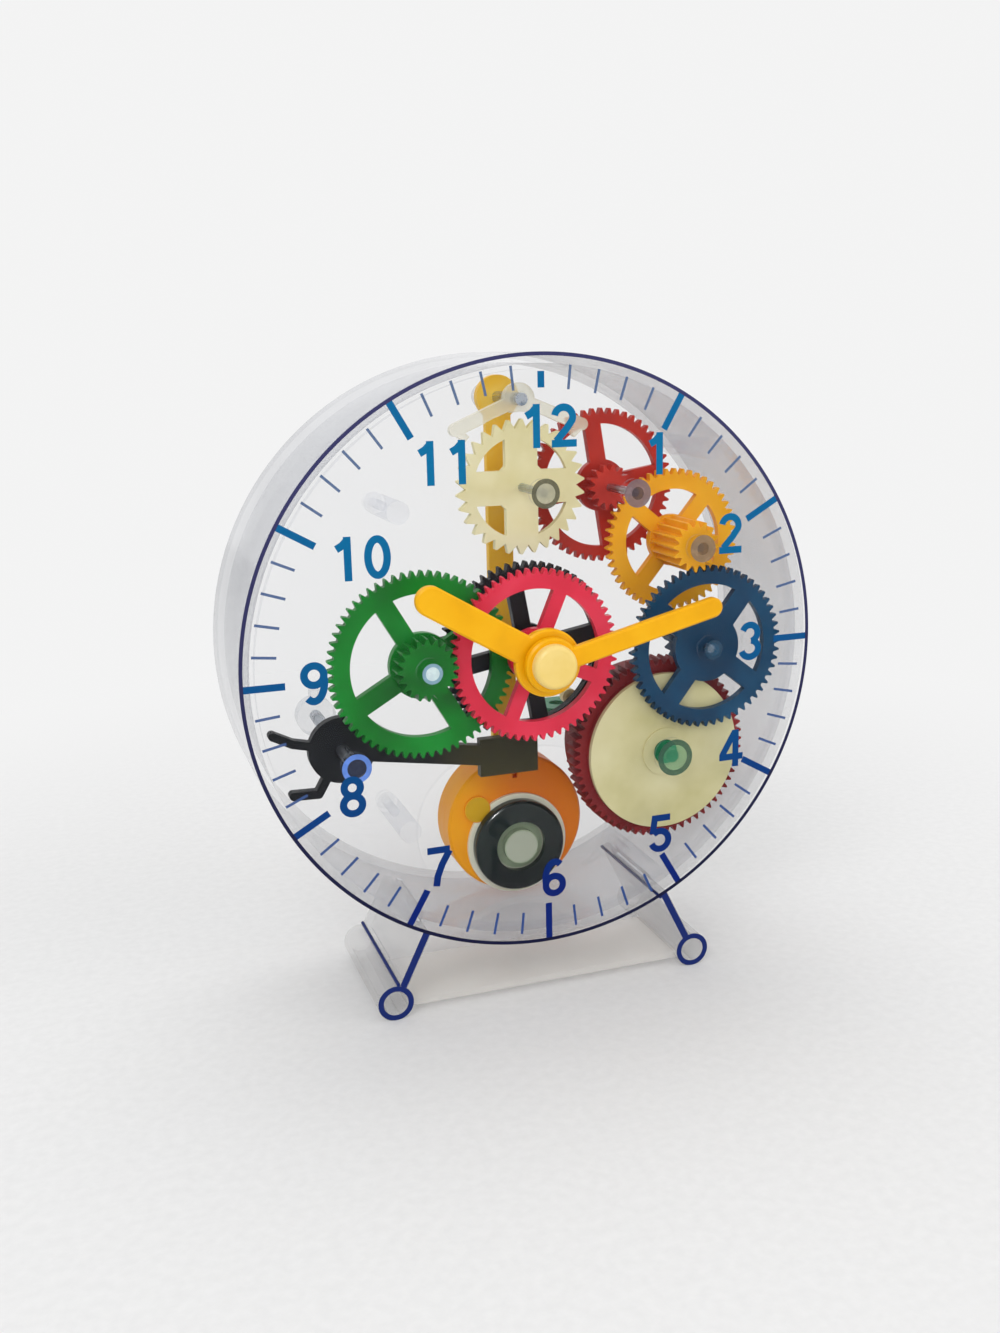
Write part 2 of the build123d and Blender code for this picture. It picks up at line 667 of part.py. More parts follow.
def winding_key():
    hub_rear = KEY_FRONT + KEY_HUB_LENGTH
    wing = RectangleRounded(KEY_WING_LENGTH, KEY_WING_DEPTH + KEY_HUB_LENGTH / 2, KEY_WING_CORNER)
    for side in (-1, 1):
        wing -= Pos(side * KEY_WING_HOLE_REACH, 0) * Circle(KEY_WING_HOLE_RADIUS)
    middle = KEY_REAR - (KEY_WING_DEPTH + KEY_HUB_LENGTH / 2) / 2
    flat = extrude(wing, KEY_WING_THICK / 2, both=True)
    part = Pos(BARREL[0], middle + Y_FRONT, BARREL[1] + DIAL_HEIGHT) * flat
    part += rod(KEY_HUB_RADIUS, KEY_FRONT, hub_rear, BARREL)
    side_length = ARBOR_SQUARE + 2 * SLIP_CLEAR
    part -= slab(Rectangle(side_length, side_length), KEY_FRONT, CASE_DEPTH + ARBOR_OVERRUN, BARREL)
    return part


# Train wheels, each moulded with its pinion and pressed on a steel axle
def blue_wheel():
    rear = BLUE_FRONT + WHEEL_THICK
    flat = spoked(BLUE_TEETH, 0, BLUE_RIM, BLUE_DISC, BLUE_SPOKES, BLUE_SPOKE, BLUE_SPOKE_DEG, AXLE_RADIUS)
    part = slab(flat, BLUE_FRONT, rear, BLUE)
    teeth = pinion(BLUE_PINION_TEETH, BLUE_PINION_PHASE, AXLE_RADIUS)
    part += slab(teeth, rear, BLUE_PINION_REAR, BLUE)
    part += ring(HUB_RADIUS, AXLE_RADIUS, BLUE_PINION_REAR, REAR_HUB_REAR, BLUE)
    return part


def amber_wheel():
    rear = AMBER_FRONT + WHEEL_THICK
    flat = spoked(AMBER_TEETH, 0, AMBER_RIM, AMBER_DISC, AMBER_SPOKES, AMBER_SPOKE, AMBER_SPOKE_DEG,
                  AXLE_RADIUS)
    part = slab(flat, AMBER_FRONT, rear, AMBER)
    teeth = pinion(AMBER_PINION_TEETH, AMBER_PINION_PHASE, AXLE_RADIUS)
    part += slab(teeth, AMBER_PINION_FRONT, AMBER_FRONT, AMBER)
    part += ring(HUB_RADIUS, AXLE_RADIUS, rear, REAR_HUB_REAR, AMBER)
    return part


def red_wheel():
    rear = RED_FRONT + WHEEL_THICK
    flat = spoked(RED_TEETH, 0, RED_RIM, RED_DISC, RED_SPOKES, RED_SPOKE, RED_SPOKE_DEG, AXLE_RADIUS)
    part = slab(flat, RED_FRONT, rear, RED)
    teeth = pinion(RED_PINION_TEETH, RED_PINION_PHASE, AXLE_RADIUS)
    part += slab(teeth, RED_PINION_FRONT, RED_PINION_REAR, RED)
    part += ring(HUB_RADIUS, AXLE_RADIUS, RED_PINION_REAR, RED_FRONT, RED)
    part += ring(HUB_RADIUS, AXLE_RADIUS, rear, REAR_HUB_REAR, RED)
    return part


def escape_wheel():
    rear = ESCAPE_FRONT + ESCAPE_WHEEL_THICK
    outline = saw(ESCAPE_TEETH, ESCAPE_RADIUS, ESCAPE_TOOTH_HEIGHT, ESCAPE_TIP_SHARE, ESCAPE_LEAN_SHARE)
    rim = ESCAPE_RADIUS - ESCAPE_TOOTH_HEIGHT - ESCAPE_RIM_WIDTH
    gaps = windows(rim, CREAM_DISC, CREAM_SPOKES, CREAM_SPOKE, CREAM_SPOKE_DEG)
    flat = outline - gaps - Circle(AXLE_RADIUS)
    part = slab(flat, ESCAPE_FRONT, rear, ESCAPE)
    teeth = pinion(ESCAPE_PINION_TEETH, ESCAPE_PINION_PHASE, AXLE_RADIUS)
    part += slab(teeth, rear, ESCAPE_PINION_REAR, ESCAPE)
    return part


def axle(spot):
    return rod(AXLE_RADIUS, PIVOT_FLOOR + AIR_GAP, AXLE_REAR, spot)


# Centre wheel, minute arbor and motion work
def centre_wheel():
    rear = CENTRE_FRONT + CENTRE_THICK
    flat = spoked(CENTRE_TEETH, CENTRE_PHASE, BLACK_RIM, BLACK_DISC, BLACK_SPOKES, BLACK_SPOKE,
                  BLACK_SPOKE_DEG, MINUTE_ARBOR_RADIUS)
    part = slab(flat, CENTRE_FRONT, rear)
    part += ring(CENTRE_HUB_RADIUS, MINUTE_ARBOR_RADIUS, rear, rear + CENTRE_HUB_LENGTH)
    return part


def minute_arbor():
    return rod(MINUTE_ARBOR_RADIUS, MINUTE_HAND_FRONT - CAP_SOCKET_DEPTH, AXLE_REAR)


def cannon_pinion():
    bore = MINUTE_ARBOR_RADIUS + SLIP_CLEAR
    teeth = pinion(CANNON_TEETH, 0, bore, MOTION_MODULE)
    part = slab(teeth, CANNON_FRONT, CANNON_FRONT + CANNON_THICK)
    part += ring(CANNON_TUBE_RADIUS, bore, MINUTE_HAND_FRONT, CANNON_FRONT)
    return part


def clutch_spring():
    front = CANNON_FRONT + CANNON_THICK
    bore = MINUTE_ARBOR_RADIUS + RUN_CLEAR
    step_in = bore + CLUTCH_THICK
    step_out = CLUTCH_RADIUS - CLUTCH_THICK
    points = [(bore, -front), (step_in, -front), (CLUTCH_RADIUS, CLUTCH_THICK - CENTRE_FRONT),
              (CLUTCH_RADIUS, -CENTRE_FRONT), (step_out, -CENTRE_FRONT), (bore, -front - CLUTCH_THICK)]
    section = Plane.XZ * make_face(Polyline(*points, close=True))
    return place(CENTRE, 0) * revolve(section, Axis.Z)


def motion_wheel():
    rear = MOTION_FRONT + MOTION_THICK
    flat = spoked(MOTION_TEETH, MOTION_PHASE, GREEN_RIM, GREEN_DISC, GREEN_SPOKES, GREEN_SPOKE,
                  GREEN_SPOKE_DEG, AXLE_RADIUS, MOTION_MODULE)
    part = slab(flat, MOTION_FRONT, rear, MOTION)
    teeth = pinion(MOTION_PINION_TEETH, 0, AXLE_RADIUS, MOTION_MODULE)
    part += slab(teeth, MOTION_PINION_FRONT, MOTION_FRONT, MOTION)
    part += ring(HUB_RADIUS, AXLE_RADIUS, rear, REAR_HUB_REAR, MOTION)
    return part


def hour_wheel():
    bore = CANNON_TUBE_RADIUS + RUN_CLEAR
    flat = spoked(HOUR_TEETH, HOUR_PHASE, PINK_RIM, PINK_DISC, PINK_SPOKES, PINK_SPOKE, PINK_SPOKE_DEG, bore,
                  MOTION_MODULE)
    part = slab(flat, HOUR_FRONT, HOUR_FRONT + HOUR_THICK)
    part += ring(HOUR_TUBE_RADIUS, bore, HOUR_HAND_FRONT, HOUR_FRONT)
    return part


# Hands
def hand(length, width, hub, bore, angle, front, rear):
    tip = polar(length - width / 2, math.radians(angle))
    part = slab(Circle(hub) + bar_between(CENTRE, tip, width), front, rear)
    part = chamfer(face_edges(part, front), HAND_EDGE)
    return part - rod(bore, front, rear)


def hour_hand():
    return hand(HOUR_HAND_LENGTH, HOUR_HAND_WIDTH, HOUR_HUB_RADIUS, HOUR_TUBE_RADIUS, HOUR_HAND_DEG,
                HOUR_HAND_FRONT, HOUR_HAND_REAR)


def minute_hand():
    return hand(MINUTE_HAND_LENGTH, MINUTE_HAND_WIDTH, MINUTE_HUB_RADIUS, CANNON_TUBE_RADIUS,
                MINUTE_HAND_DEG, MINUTE_HAND_FRONT, MINUTE_HAND_REAR)


def hand_cap():
    part = rod(CAP_RADIUS, CAP_FRONT, MINUTE_HAND_FRONT)
    part = fillet(face_edges(part, CAP_FRONT), CAP_EDGE)
    return part - rod(MINUTE_ARBOR_RADIUS, MINUTE_HAND_FRONT - CAP_SOCKET_DEPTH, MINUTE_HAND_FRONT)


# Pendulum: anchor, pin, rod, bob, weight and weight holder
def pendulum_rod():
    half = ROD_WIDTH / 2
    rear = ROD_FRONT + ROD_THICK
    part = rod(ROD_EYE_RADIUS, ROD_FRONT, rear, PIVOT)
    part += block(PIVOT_X - half, PIVOT_X + half, ROD_FOOT, PIVOT[1], ROD_FRONT, rear)
    return part - rod(PIVOT_PIN_RADIUS, ROD_FRONT, rear, PIVOT)


def pivot_pin():
    return rod(PIVOT_PIN_RADIUS, ANCHOR_FRONT - PIN_OVERRUN, BACK_FRONT - AIR_GAP, PIVOT)


def anchor():
    apart = math.hypot(PIVOT[0] - ESCAPE[0], PIVOT[1] - ESCAPE[1])
    line = math.atan2(PIVOT[1] - ESCAPE[1], PIVOT[0] - ESCAPE[0])
    lift = apart * math.radians(SWING_DEG)
    inner = ESCAPE_RADIUS + lift + PALLET_CLEAR
    sketch = Pos(*PIVOT) * Circle(ANCHOR_EYE_RADIUS)
    for side in (-1, 1):
        angle = line + side * math.radians(PALLET_SPREAD_DEG)
        top = polar(inner + PALLET_LENGTH, angle)
        end = (ESCAPE[0] + top[0], ESCAPE[1] + top[1])
        sketch += bar_between(PIVOT, end, ANCHOR_ARM_WIDTH)
        pallet = Pos(inner + PALLET_LENGTH / 2, 0) * Rectangle(PALLET_LENGTH, PALLET_WIDTH)
        sketch += Pos(*ESCAPE) * (Rot(0, 0, math.degrees(angle)) * pallet)
    sketch -= Pos(*ESCAPE) * Circle(inner)
    sketch -= Pos(*PIVOT) * Circle(PIVOT_PIN_RADIUS)
    return slab(sketch, ANCHOR_FRONT, ANCHOR_FRONT + ANCHOR_THICK)


def bob():
    rear = BOB_FRONT + BOB_THICK
    part = rod(BOB_RADIUS, BOB_FRONT, rear, BOB)
    part = chamfer(face_edges(part, BOB_FRONT), BOB_EDGE)
    part += rod(BOB_STUD_RADIUS, BOB_FRONT - BOB_STUD_HEIGHT, BOB_FRONT, BOB_STUD)
    half = ROD_WIDTH / 2 + SLIP_CLEAR
    floor = ROD_FOOT - SLIP_CLEAR
    top = BOB[1] + BOB_RADIUS
    inside = BOB_FRONT + BOB_SKIN
    wide = half + BOB_SKIN
    hollow = rod(BOB_RADIUS - BOB_SKIN, inside, rear, BOB)
    part -= hollow - block(PIVOT_X - wide, PIVOT_X + wide, floor - BOB_SKIN, top, inside, rear)
    part -= block(PIVOT_X - half, PIVOT_X + half, floor, top,
                  ROD_FRONT - SLIP_CLEAR, ROD_FRONT + ROD_THICK + SLIP_CLEAR)
    slit = BOB_SLIT_WIDTH / 2
    part -= block(PIVOT_X - slit, PIVOT_X + slit, top - BOB_SLIT_LENGTH, top, BOB_FRONT, inside)
    return part


def bob_weight():
    rear = BOB_FRONT - HOLDER_THICK
    front = rear - WEIGHT_THICK
    part = rod(WEIGHT_RADIUS, front, rear, WEIGHT)
    part = fillet(face_edges(part, front), WEIGHT_EDGE)
    return part - rod(WEIGHT_BORE_RADIUS, front, rear, WEIGHT)


def weight_holder():
    face = BOB_FRONT - HOLDER_THICK
    part = rod(HOLDER_RADIUS, face, BOB_FRONT, WEIGHT)
    part += rod(WEIGHT_BORE_RADIUS - SLIP_CLEAR, face - HOLDER_SEAT_LENGTH, face, WEIGHT)
    part += rod(HOLDER_POST_RADIUS, face - HOLDER_POST_LENGTH, face, WEIGHT)
    return part - rod(BOB_STUD_RADIUS + SEAT_CLEAR, face, BOB_FRONT, BOB_STUD)


# Stop lever with its fingers and shoe, pin and rear knob
def stop_lever():
    rear = LEVER_FRONT + LEVER_THICK
    elbow = lever_spot(ELBOW_SHARES)
    knee = lever_spot(KNEE_SHARES)
    sketch = Pos(*LEVER) * Circle(LEVER_HUB_RADIUS)
    arm_tip = (SHOE_LEFT + LEVER_ARM_WIDTH, (SHOE_TOP + SHOE_BOTTOM) / 2)
    sketch += bar_between(LEVER, arm_tip, LEVER_ARM_WIDTH)
    sketch += bar_between(LEVER, elbow, FINGER_WIDTH)
    sketch += bar_between(elbow, lever_spot(HOOK_SHARES), FINGER_WIDTH)
    sketch += bar_between(LEVER, knee, FINGER_WIDTH)
    sketch += bar_between(knee, lever_spot(TOE_SHARES), FINGER_WIDTH)
    sketch += bar_between(LEVER, lever_spot(STUB_SHARES), FINGER_WIDTH)
    part = slab(sketch, LEVER_FRONT, rear)
    part += block(SHOE_LEFT, SHOE_RIGHT, SHOE_BOTTOM, SHOE_TOP, LEVER_FRONT, rear)
    left = SHOE_RIGHT - SHOE_WALL
    part += block(left, SHOE_RIGHT, SHOE_BOTTOM, SHOE_TOP, rear, BOB_FRONT - SHOE_FACE_GAP)
    return part - rod(LEVER_PIN_RADIUS, LEVER_FRONT, rear, LEVER)


def lever_pin():
    return rod(LEVER_PIN_RADIUS, PIVOT_FLOOR + AIR_GAP, CASE_DEPTH + KNOB_GAP + KNOB_LENGTH / 2, LEVER)


def lever_knob():
    front = CASE_DEPTH + KNOB_GAP
    rear = front + KNOB_LENGTH
    part = rod(KNOB_RADIUS, front, rear, LEVER)
    bar = Pos(0, KNOB_RADIUS) * Rectangle(KNOB_BAR_WIDTH, KNOB_BAR_LENGTH)
    part += slab(bar, front, rear, LEVER)
    return part - rod(LEVER_PIN_RADIUS, front, front + KNOB_LENGTH / 2, LEVER)


NODES = {
    "front_cover": front_cover(),
    "rear_case": rear_case(),
    "left_leg": leg(-1),
    "right_leg": leg(1),
    "foot_bridge": bridge_bar(0),
    "movement_plate": movement_plate(),
    "plate_screws": plate_screws(),
    "click_spring": click_spring(),
    "mainspring_barrel": mainspring_barrel(),
    "barrel_lid": barrel_lid(),
    "mainspring": mainspring(),
    "winding_arbor": winding_arbor(),
    "ratchet_wheel": ratchet_wheel(),
    "winding_key": winding_key(),
    "blue_wheel": blue_wheel(),
    "blue_axle": axle(BLUE),
    "amber_wheel": amber_wheel(),
    "amber_axle": axle(AMBER),
    "red_wheel": red_wheel(),
    "red_axle": axle(RED),
    "escape_wheel": escape_wheel(),
    "escape_axle": axle(ESCAPE),
    "centre_wheel": centre_wheel(),
    "minute_arbor": minute_arbor(),
    "cannon_pinion": cannon_pinion(),
    "clutch_spring": clutch_spring(),
    "minute_hand": minute_hand(),
    "hand_cap": hand_cap(),
    "motion_wheel": motion_wheel(),
    "motion_axle": axle(MOTION),
    "hour_wheel": hour_wheel(),
    "hour_hand": hour_hand(),
    "pendulum_rod": pendulum_rod(),
    "anchor": anchor(),
    "pivot_pin": pivot_pin(),
    "bob": bob(),
    "bob_weight": bob_weight(),
    "weight_holder": weight_holder(),
    "stop_lever": stop_lever(),
    "lever_pin": lever_pin(),
    "lever_knob": lever_knob(),
}

os.makedirs("parts", exist_ok=True)
for name, shape in NODES.items():
    export_step(shape, f"parts/{name}.step")
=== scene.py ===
import math

import bmesh
import bpy
from mathutils import Matrix, Vector


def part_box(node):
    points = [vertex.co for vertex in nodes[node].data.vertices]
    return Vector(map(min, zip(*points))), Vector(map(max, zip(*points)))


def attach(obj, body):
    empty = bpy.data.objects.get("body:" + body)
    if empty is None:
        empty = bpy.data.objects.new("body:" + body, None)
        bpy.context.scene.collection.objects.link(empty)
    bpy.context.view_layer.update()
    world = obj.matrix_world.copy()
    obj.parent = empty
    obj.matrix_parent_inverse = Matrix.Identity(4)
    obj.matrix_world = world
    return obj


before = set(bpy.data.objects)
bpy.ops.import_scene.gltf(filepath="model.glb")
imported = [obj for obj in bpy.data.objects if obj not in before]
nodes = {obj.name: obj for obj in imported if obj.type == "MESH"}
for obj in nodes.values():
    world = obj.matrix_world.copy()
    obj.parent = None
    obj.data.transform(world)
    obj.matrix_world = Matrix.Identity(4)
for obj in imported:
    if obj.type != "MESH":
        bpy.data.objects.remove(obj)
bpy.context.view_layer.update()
scene = bpy.context.scene
MM = 0.001

# Dial places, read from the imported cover
cover_low, cover_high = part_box("front_cover")
DIAL_X = (cover_low.x + cover_high.x) / 2
DIAL_Y = cover_low.y
DIAL_Z = (cover_low.z + cover_high.z) / 2
DIAL_SPOT = Vector((DIAL_X, DIAL_Y, DIAL_Z))
DIAL_RADIUS = (cover_high.x - cover_low.x) / 2

# Dial print sizes in metres
INK_LIFT = 0.03 * MM
INK_THICK = 0.06 * MM
INK_BACK = DIAL_Y - INK_LIFT
INK_FRONT = DIAL_Y - INK_LIFT - INK_THICK
RIM_LINE = 0.85 * MM
RIM_INNER = DIAL_RADIUS - RIM_LINE
HOUR_TICK_LONG = 9.0 * MM
HOUR_TICK_WIDE = 1.6 * MM
TWELVE_TICK_LONG = 3.6 * MM
TWELVE_TICK_INSET = 4.2 * MM
MINUTE_TICK_LONG = 5.4 * MM
MINUTE_TICK_WIDE = 0.62 * MM
MINUTE_TICK_INSET = 2.6 * MM
NUMBER_RADIUS = 53.8 * MM
NUMBER_HEIGHT = 9.7 * MM
STROKE_WIDE = 0.172 * NUMBER_HEIGHT
STROKE_LAYER = INK_THICK / 8
# Sideways shift of a number from its hour mark in mm, as the photo has it
NUMBER_SHIFTS = {1: 1.5, 2: 1.2, 4: 2.4, 5: 2.8, 6: 1.5, 10: 4.5, 11: 4.0, 12: 1.8}
# Step from one digit to the next as a share of the height, and the least cosine at a mitre
ADVANCE = 0.74
MITRE_LIMIT = 0.5

# Dial divisions
HOURS = 12
MINUTES = 60
MINUTES_PER_HOUR_MARK = 5
HOUR_DEGREES = 30
MINUTE_DEGREES = 6
RIM_STEPS = 240

# Stand print sizes in metres
FOOT_RADIUS = 4.3 * MM
FOOT_BORE = 3.0 * MM
EDGE_WIDE = 1.7 * MM
LINE_RADIUS = 0.42 * MM
LEFT_LINE_RISE = 0.1 * MM
LEFT_LINE_OUT = 1.3 * MM
RIGHT_LINE_DROP = 0.2 * MM
RIGHT_LINE_OUT = 1.1 * MM

# Places of the tones on bob, weight holder and lever, in metres or as shares of a size; on the bob and the
# hub some tones are painted light and shade
STUD_RADIUS = 3.4 * MM
STUD_OFFSET = Vector((-10.4 * MM, 0, 5.0 * MM))
HUB_LIT_FACE = 4.4 * MM
HUB_END = 6.2 * MM
HOLDER_START = 6.6 * MM
SHOE_FADE_START = 2 * MM
SHOE_FADE_END = 16 * MM
BOB_PAINTED_LIGHT_SHARE = 0.1
PATCH_SHARES = (0.9, 1.02)

# Noise scales in cells per metre, and the range that most noise values lie in
CLOUD_SCALE = 60
GRADED_CLOUD_SCALE = 70
FLOW_SCALE = 140
FLOW_STRETCH = (1, 4, 1)
GRAIN_SCALE = 2600
HAZE_SCALE = 45
SMEAR_SCALE = 220
DRAWN_SCALE = 900
TARNISH_SCALE = 90
SPECK_SCALE = 1500
MARK_SCALE = 500
PAPER_SCALE = 400
NOISE_LOW = 0.3
NOISE_HIGH = 0.7

# Places of the colours on a ramp
PIGMENT_STOPS = (0.28, 0.5, 0.74)
TONE_STOPS = (0.3, 0.7)
TARNISH_STOPS = (0.3, 0.68)
INK_STOPS = (0.1, 0.8)
WEAR_STOPS = (0.35, 0.6)

# Other shading values, depths in metres
PLASTIC_IOR = 1.49
PLASTIC_SPECULAR = 0.2
MOULD_GRAIN = 0.12
GRAIN_DEPTH = 0.05 * MM
EDGE_ON_START = 0.14
DRAWN_STRENGTH = 0.12
DRAWN_DEPTH = 0.03 * MM
INK_SPECULAR = 0.1
INK_ROUGH = (0.42, 0.6)
WEAR_TINT = (0.7, 0.72, 0.78, 1)
WEAR_FACTOR = 0.25
MARK_ROUGH = (0.18, 0.3)
MARK_PALER = 1.25
PAPER_SPECULAR = 0.1
PAPER_ROUGH = 0.85
WHITE = (1, 1, 1, 1)
BACKDROP = (0.9, 0.9, 0.9, 1)

# Socket numbers of a colour Mix node
MIX_FIRST = 6
MIX_SECOND = 7
MIX_COLOUR = 2

# Parts of an offset that a tone follows
ALONG_X = (1, 0, 0)
ROUND_Y = (1, 0, 1)


def linear(value):
    return value / 12.92 if value <= 0.04045 else ((value + 0.055) / 1.055) ** 2.4


def colour(code):
    return tuple(linear(int(code[i:i + 2], 16) / 255) for i in (0, 2, 4)) + (1.0,)


def middle(node):
    low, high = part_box(node)
    return (low + high) / 2


# Shader building blocks
def new_material(name):
    mat = bpy.data.materials.new(name)
    mat.use_nodes = True
    tree = mat.node_tree
    tree.nodes.clear()
    out = tree.nodes.new("ShaderNodeOutputMaterial")
    shader = tree.nodes.new("ShaderNodeBsdfPrincipled")
    tree.links.new(shader.outputs["BSDF"], out.inputs["Surface"])
    return mat, tree, shader


def object_coordinates(tree, scale=(1, 1, 1)):
    coords = tree.nodes.new("ShaderNodeTexCoord")
    mapping = tree.nodes.new("ShaderNodeMapping")
    mapping.inputs["Scale"].default_value = scale
    tree.links.new(coords.outputs["Object"], mapping.inputs["Vector"])
    return mapping.outputs["Vector"]


def noise(tree, vector, scale, detail, rough=0.55):
    node = tree.nodes.new("ShaderNodeTexNoise")
    node.inputs["Scale"].default_value = scale
    node.inputs["Detail"].default_value = detail
    node.inputs["Roughness"].default_value = rough
    tree.links.new(vector, node.inputs["Vector"])
    return node.outputs["Fac"]


def ramp(tree, factor, places, colours):
    node = tree.nodes.new("ShaderNodeValToRGB")
    points = node.color_ramp.elements
    while len(points) < len(places):
        points.new(0.5)
    for point, place, value in zip(points, places, colours):
        point.position = place
        point.color = value
    tree.links.new(factor, node.inputs["Fac"])
    return node.outputs["Color"]


def span(tree, factor, low, high):
    node = tree.nodes.new("ShaderNodeMapRange")
    node.inputs["From Min"].default_value = NOISE_LOW
    node.inputs["From Max"].default_value = NOISE_HIGH
    node.inputs["To Min"].default_value = low
    node.inputs["To Max"].default_value = high
    tree.links.new(factor, node.inputs["Value"])
    return node.outputs["Result"]


def smooth_step(tree, value, start, end):
    node = tree.nodes.new("ShaderNodeMapRange")
    node.interpolation_type = "SMOOTHSTEP"
    node.inputs["From Min"].default_value = start
    node.inputs["From Max"].default_value = end
    tree.links.new(value, node.inputs["Value"])
    return node.outputs["Result"]


def bump(tree, factor, strength, distance):
    node = tree.nodes.new("ShaderNodeBump")
    node.inputs["Strength"].default_value = strength
    node.inputs["Distance"].default_value = distance
    tree.links.new(factor, node.inputs["Height"])
    return node.outputs["Normal"]


def vector_math(tree, operation, source, value=(0, 0, 0)):
    node = tree.nodes.new("ShaderNodeVectorMath")
    node.operation = operation
    node.inputs[1].default_value = value
    tree.links.new(source, node.inputs[0])
    return node


# Offset from a spot, with only the parts that the mask keeps
def masked_offset(tree, spot, mask):
    coords = tree.nodes.new("ShaderNodeTexCoord")
    offset = vector_math(tree, "SUBTRACT", coords.outputs["Object"], spot)
    return vector_math(tree, "MULTIPLY", offset.outputs["Vector"], mask).outputs["Vector"]


def colour_mix(tree):
    node = tree.nodes.new("ShaderNodeMix")
    node.data_type = "RGBA"
    return node


# Gloss of a moulding: flow marks in the roughness and a fine mould grain
def mould_finish(tree, shader, place, rough, grain):
    flow = noise(tree, object_coordinates(tree, FLOW_STRETCH), FLOW_SCALE, 3)
    fine = noise(tree, place, GRAIN_SCALE, 2)
    tree.links.new(span(tree, flow, *rough), shader.inputs["Roughness"])
    tree.links.new(bump(tree, fine, grain, GRAIN_DEPTH), shader.inputs["Normal"])
    shader.inputs["IOR"].default_value = PLASTIC_IOR
    shader.inputs["Specular IOR Level"].default_value = PLASTIC_SPECULAR


# Moulded plastic with cloudy pigment
def plastic(name, dark, main, light, rough=(0.3, 0.44), grain=MOULD_GRAIN, coat=0.0):
    mat, tree, shader = new_material(name)
    place = object_coordinates(tree)
    cloud = noise(tree, place, CLOUD_SCALE, 4)
    shade = ramp(tree, cloud, PIGMENT_STOPS, map(colour, (dark, main, light)))
    tree.links.new(shade, shader.inputs["Base Color"])
    mould_finish(tree, shader, place, rough, grain)
    shader.inputs["Coat Weight"].default_value = coat
    return mat


# Moulding whose colour runs from one pair of tones to another, along an axis or outwards from a spot
def graded(name, near, far, origin, mask, start, end, rough=(0.3, 0.46), outwards=False):
    mat, tree, shader = new_material(name)
    operation = "LENGTH" if outwards else "DOT_PRODUCT"
    measure = vector_math(tree, operation, masked_offset(tree, origin, mask), (1, 1, 1))
    place = object_coordinates(tree)
    cloud = noise(tree, place, GRADED_CLOUD_SCALE, 4)
    mix = colour_mix(tree)
    tree.links.new(smooth_step(tree, measure.outputs["Value"], start, end), mix.inputs["Factor"])
    for socket, pair in ((MIX_FIRST, near), (MIX_SECOND, far)):
        tone = ramp(tree, cloud, TONE_STOPS, map(colour, pair))
        tree.links.new(tone, mix.inputs[socket])
    tree.links.new(mix.outputs[MIX_COLOUR], shader.inputs["Base Color"])
    mould_finish(tree, shader, place, rough, MOULD_GRAIN)
    return mat


# Round patch of another tone on a moulding, seen along Y
def patch(mat, code, centre, radius):
    tree = mat.node_tree
    base = tree.nodes["Principled BSDF"].inputs["Base Color"]
    under = base.links[0].from_socket
    away = vector_math(tree, "LENGTH", masked_offset(tree, centre, ROUND_Y))
    start, end = PATCH_SHARES
    edge = smooth_step(tree, away.outputs["Value"], start * radius, end * radius)
    mix = colour_mix(tree)
    mix.inputs[MIX_FIRST].default_value = colour(code)
    tree.links.new(edge, mix.inputs["Factor"])
    tree.links.new(under, mix.inputs[MIX_SECOND])
    tree.links.new(mix.outputs[MIX_COLOUR], base)


# Clear plastic: thin in the middle, milky where it is seen edge on
def clear(name, tint, face_alpha, edge_alpha, power, rough=(0.06, 0.16)):
    mat, tree, shader = new_material(name)
    place = object_coordinates(tree)
    haze = noise(tree, place, HAZE_SCALE, 3)
    shade = ramp(tree, haze, TONE_STOPS, map(colour, tint))
    tree.links.new(shade, shader.inputs["Base Color"])
    smear = noise(tree, place, SMEAR_SCALE, 2)
    tree.links.new(span(tree, smear, *rough), shader.inputs["Roughness"])
    facing = tree.nodes.new("ShaderNodeLayerWeight")
    facing.inputs["Blend"].default_value = power
    edge = tree.nodes.new("ShaderNodeMapRange")
    edge.inputs["From Min"].default_value = EDGE_ON_START
    edge.inputs["To Min"].default_value = face_alpha
    edge.inputs["To Max"].default_value = edge_alpha
    tree.links.new(facing.outputs["Facing"], edge.inputs["Value"])
    tree.links.new(edge.outputs["Result"], shader.inputs["Alpha"])
    shader.inputs["IOR"].default_value = PLASTIC_IOR
    return mat


# Drawn or stamped metal: fine lines along Y, as the axles lie, and a little tarnish
def metal(name, dark, light, rough, stretch):
    mat, tree, shader = new_material(name)
    lines = noise(tree, object_coordinates(tree, stretch), DRAWN_SCALE, 3)
    tarnish = noise(tree, object_coordinates(tree), TARNISH_SCALE, 4)
    shade = ramp(tree, tarnish, TARNISH_STOPS, map(colour, (dark, light)))
    tree.links.new(shade, shader.inputs["Base Color"])
    tree.links.new(span(tree, lines, *rough), shader.inputs["Roughness"])
    tree.links.new(bump(tree, lines, DRAWN_STRENGTH, DRAWN_DEPTH), shader.inputs["Normal"])
    shader.inputs["Metallic"].default_value = 1.0
    return mat


